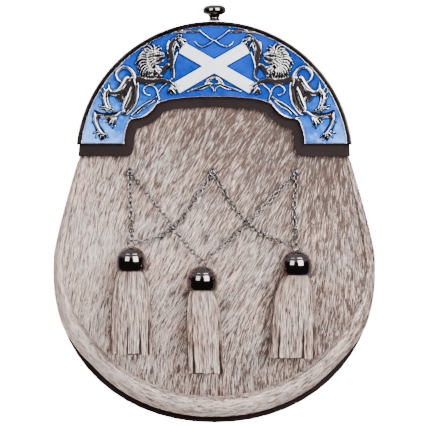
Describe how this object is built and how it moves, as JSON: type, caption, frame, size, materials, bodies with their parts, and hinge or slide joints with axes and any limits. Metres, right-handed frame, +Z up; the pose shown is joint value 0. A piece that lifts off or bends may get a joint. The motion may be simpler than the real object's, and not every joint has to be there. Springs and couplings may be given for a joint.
{
  "type": "sporran pouch",
  "caption": "Kilt pouch of pale short-haired hide with an arched enamelled metal cantle, a domed front, chain-hung tassels under bell caps, and a flapped leather back with strap loops.",
  "frame": {"origin": "where the kilt strap passes behind the pouch: on the centre line, on the back face of the back panel, halfway up the two strap loops", "axes": "+X to the right seen from the front, +Y to the back (towards the wearer), +Z up, as it hangs"},
  "size_m": [0.19, 0.067, 0.2459],
  "materials": {
    "hide": "short grizzled hair on hide, pale beige grey with dark streaks",
    "leather": "very dark brown, fine grain, satin",
    "cast_metal": "bright cast relief with dark antiqued hollows and a dark rim",
    "black_chrome": "polished black chrome",
    "chain_metal": "dark gunmetal",
    "blue_enamel": "glossy blue enamel, lighter towards the ends",
    "white_enamel": "glossy white enamel"
  },
  "bodies": {
    "root": {"back_panel": "leather", "back_flap": "leather", "flap_stud": "black_chrome", "strap_loop_left": "leather", "strap_loop_right": "leather", "hide_gusset": "hide", "top_gusset": "leather", "front_panel": "hide", "yoke": "leather", "cantle_frame": "cast_metal", "enamel_plate": "blue_enamel", "saltire": "white_enamel", "finial_knob": "black_chrome", "staple_left": "chain_metal", "staple_centre": "chain_metal", "staple_right": "chain_metal", "chain_left_to_left": "chain_metal", "chain_left_to_centre": "chain_metal", "chain_centre_to_left": "chain_metal", "chain_centre_to_right": "chain_metal", "chain_right_to_centre": "chain_metal", "chain_right_to_right": "chain_metal", "bell_left": "black_chrome", "bell_centre": "black_chrome", "bell_right": "black_chrome", "tassel_left": "hide", "tassel_centre": "hide", "tassel_right": "hide"}
  },
  "joints": []
}
